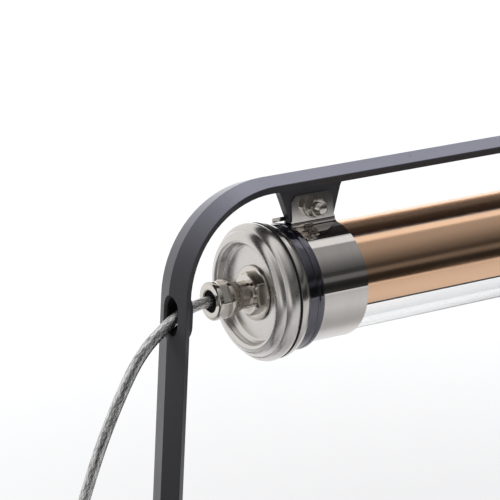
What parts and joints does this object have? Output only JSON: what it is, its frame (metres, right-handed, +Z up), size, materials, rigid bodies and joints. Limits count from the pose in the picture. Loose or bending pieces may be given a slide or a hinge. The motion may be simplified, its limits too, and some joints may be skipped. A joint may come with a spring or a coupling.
{
  "type": "table lamp",
  "caption": "Table lamp: glass tube with a copper half reflector, clasped in steel collars under a bent arch, turning about its axis; cable leaves by a gland and a slot in the leg.",
  "frame": {"origin": "on the table under the middle of the lamp, at the bottom centre of its box without the cord", "axes": "+X along the glass tube away from the cable gland, +Y towards the back, +Z up"},
  "size_m": [0.6671, 0.3839, 0.332],
  "materials": {
    "arch_paint": "satin anthracite powder coat",
    "cap_steel": "polished stainless steel",
    "ring_steel": "polished stainless steel",
    "collar_steel": "polished stainless strip",
    "bolt_steel": "bright zinc-plated steel",
    "gland_nickel": "nickel-plated brass",
    "copper_mirror": "polished copper sheet",
    "clear_glass": "clear borosilicate glass",
    "black_rubber": "matt black rubber",
    "grey_gasket": "dark flat gasket",
    "dark_liner": "low-friction plastic strip",
    "channel_alu": "plain mill aluminium",
    "board_white": "white solder mask",
    "chip_yellow": "phosphor-covered diode",
    "driver_case": "moulded plastic case",
    "terminal_white": "moulded plastic",
    "cable_sheath": "clear sheath over a steel-wire braid",
    "fitting_black": "moulded black plastic",
    "pin_brass": "plain brass"
  },
  "bodies": {
    "stand": {"frame_arch": "arch_paint", "cable_bush": "black_rubber", "left_foot": "arch_paint", "right_foot": "arch_paint", "foot_screws": "bolt_steel", "foot_pads": "black_rubber", "left_collar": "collar_steel", "right_collar": "collar_steel", "left_collar_liner": "dark_liner", "right_collar_liner": "dark_liner", "collar_bolts": "bolt_steel", "collar_washers": "bolt_steel", "collar_nuts": "bolt_steel", "cord_lead": "cable_sheath", "cord_coil": "cable_sheath", "cord_tie": "black_rubber", "switch_base": "fitting_black", "switch_cover": "fitting_black", "switch_relief_in": "fitting_black", "switch_relief_out": "fitting_black", "plug_relief": "fitting_black", "plug_body": "fitting_black", "plug_pins": "pin_brass"},
    "tube": {"glass_tube": "clear_glass", "left_end_cap": "cap_steel", "right_end_cap": "cap_steel", "left_seam_gasket": "grey_gasket", "right_seam_gasket": "grey_gasket", "left_clamp_ring": "ring_steel", "right_clamp_ring": "ring_steel", "left_seal": "black_rubber", "right_seal": "black_rubber", "left_end_plate": "channel_alu", "right_end_plate": "channel_alu", "reflector": "copper_mirror", "led_channel": "channel_alu", "led_board": "board_white", "led_chips": "chip_yellow", "led_driver": "driver_case", "terminal_block": "terminal_white", "gland_body": "gland_nickel", "gland_dome_nut": "gland_nickel", "gland_seal": "black_rubber", "gland_washer": "black_rubber", "gland_lock_nut": "gland_nickel", "inner_lead": "cable_sheath"},
    "rocker": {"switch_rocker": "fitting_black"}
  },
  "joints": [
    {"name": "tube_roll", "type": "hinge", "parent": "stand", "child": "tube", "pos_m": [0, 0, 0.25], "axis": [1, 0, 0], "range_deg": [-90, 90]},
    {"name": "switch_rock", "type": "hinge", "parent": "stand", "child": "rocker", "pos_m": [-0.356, 0.147, 0.0175], "axis": [1, 0, 0], "range_deg": [-12, 0]}
  ]
}
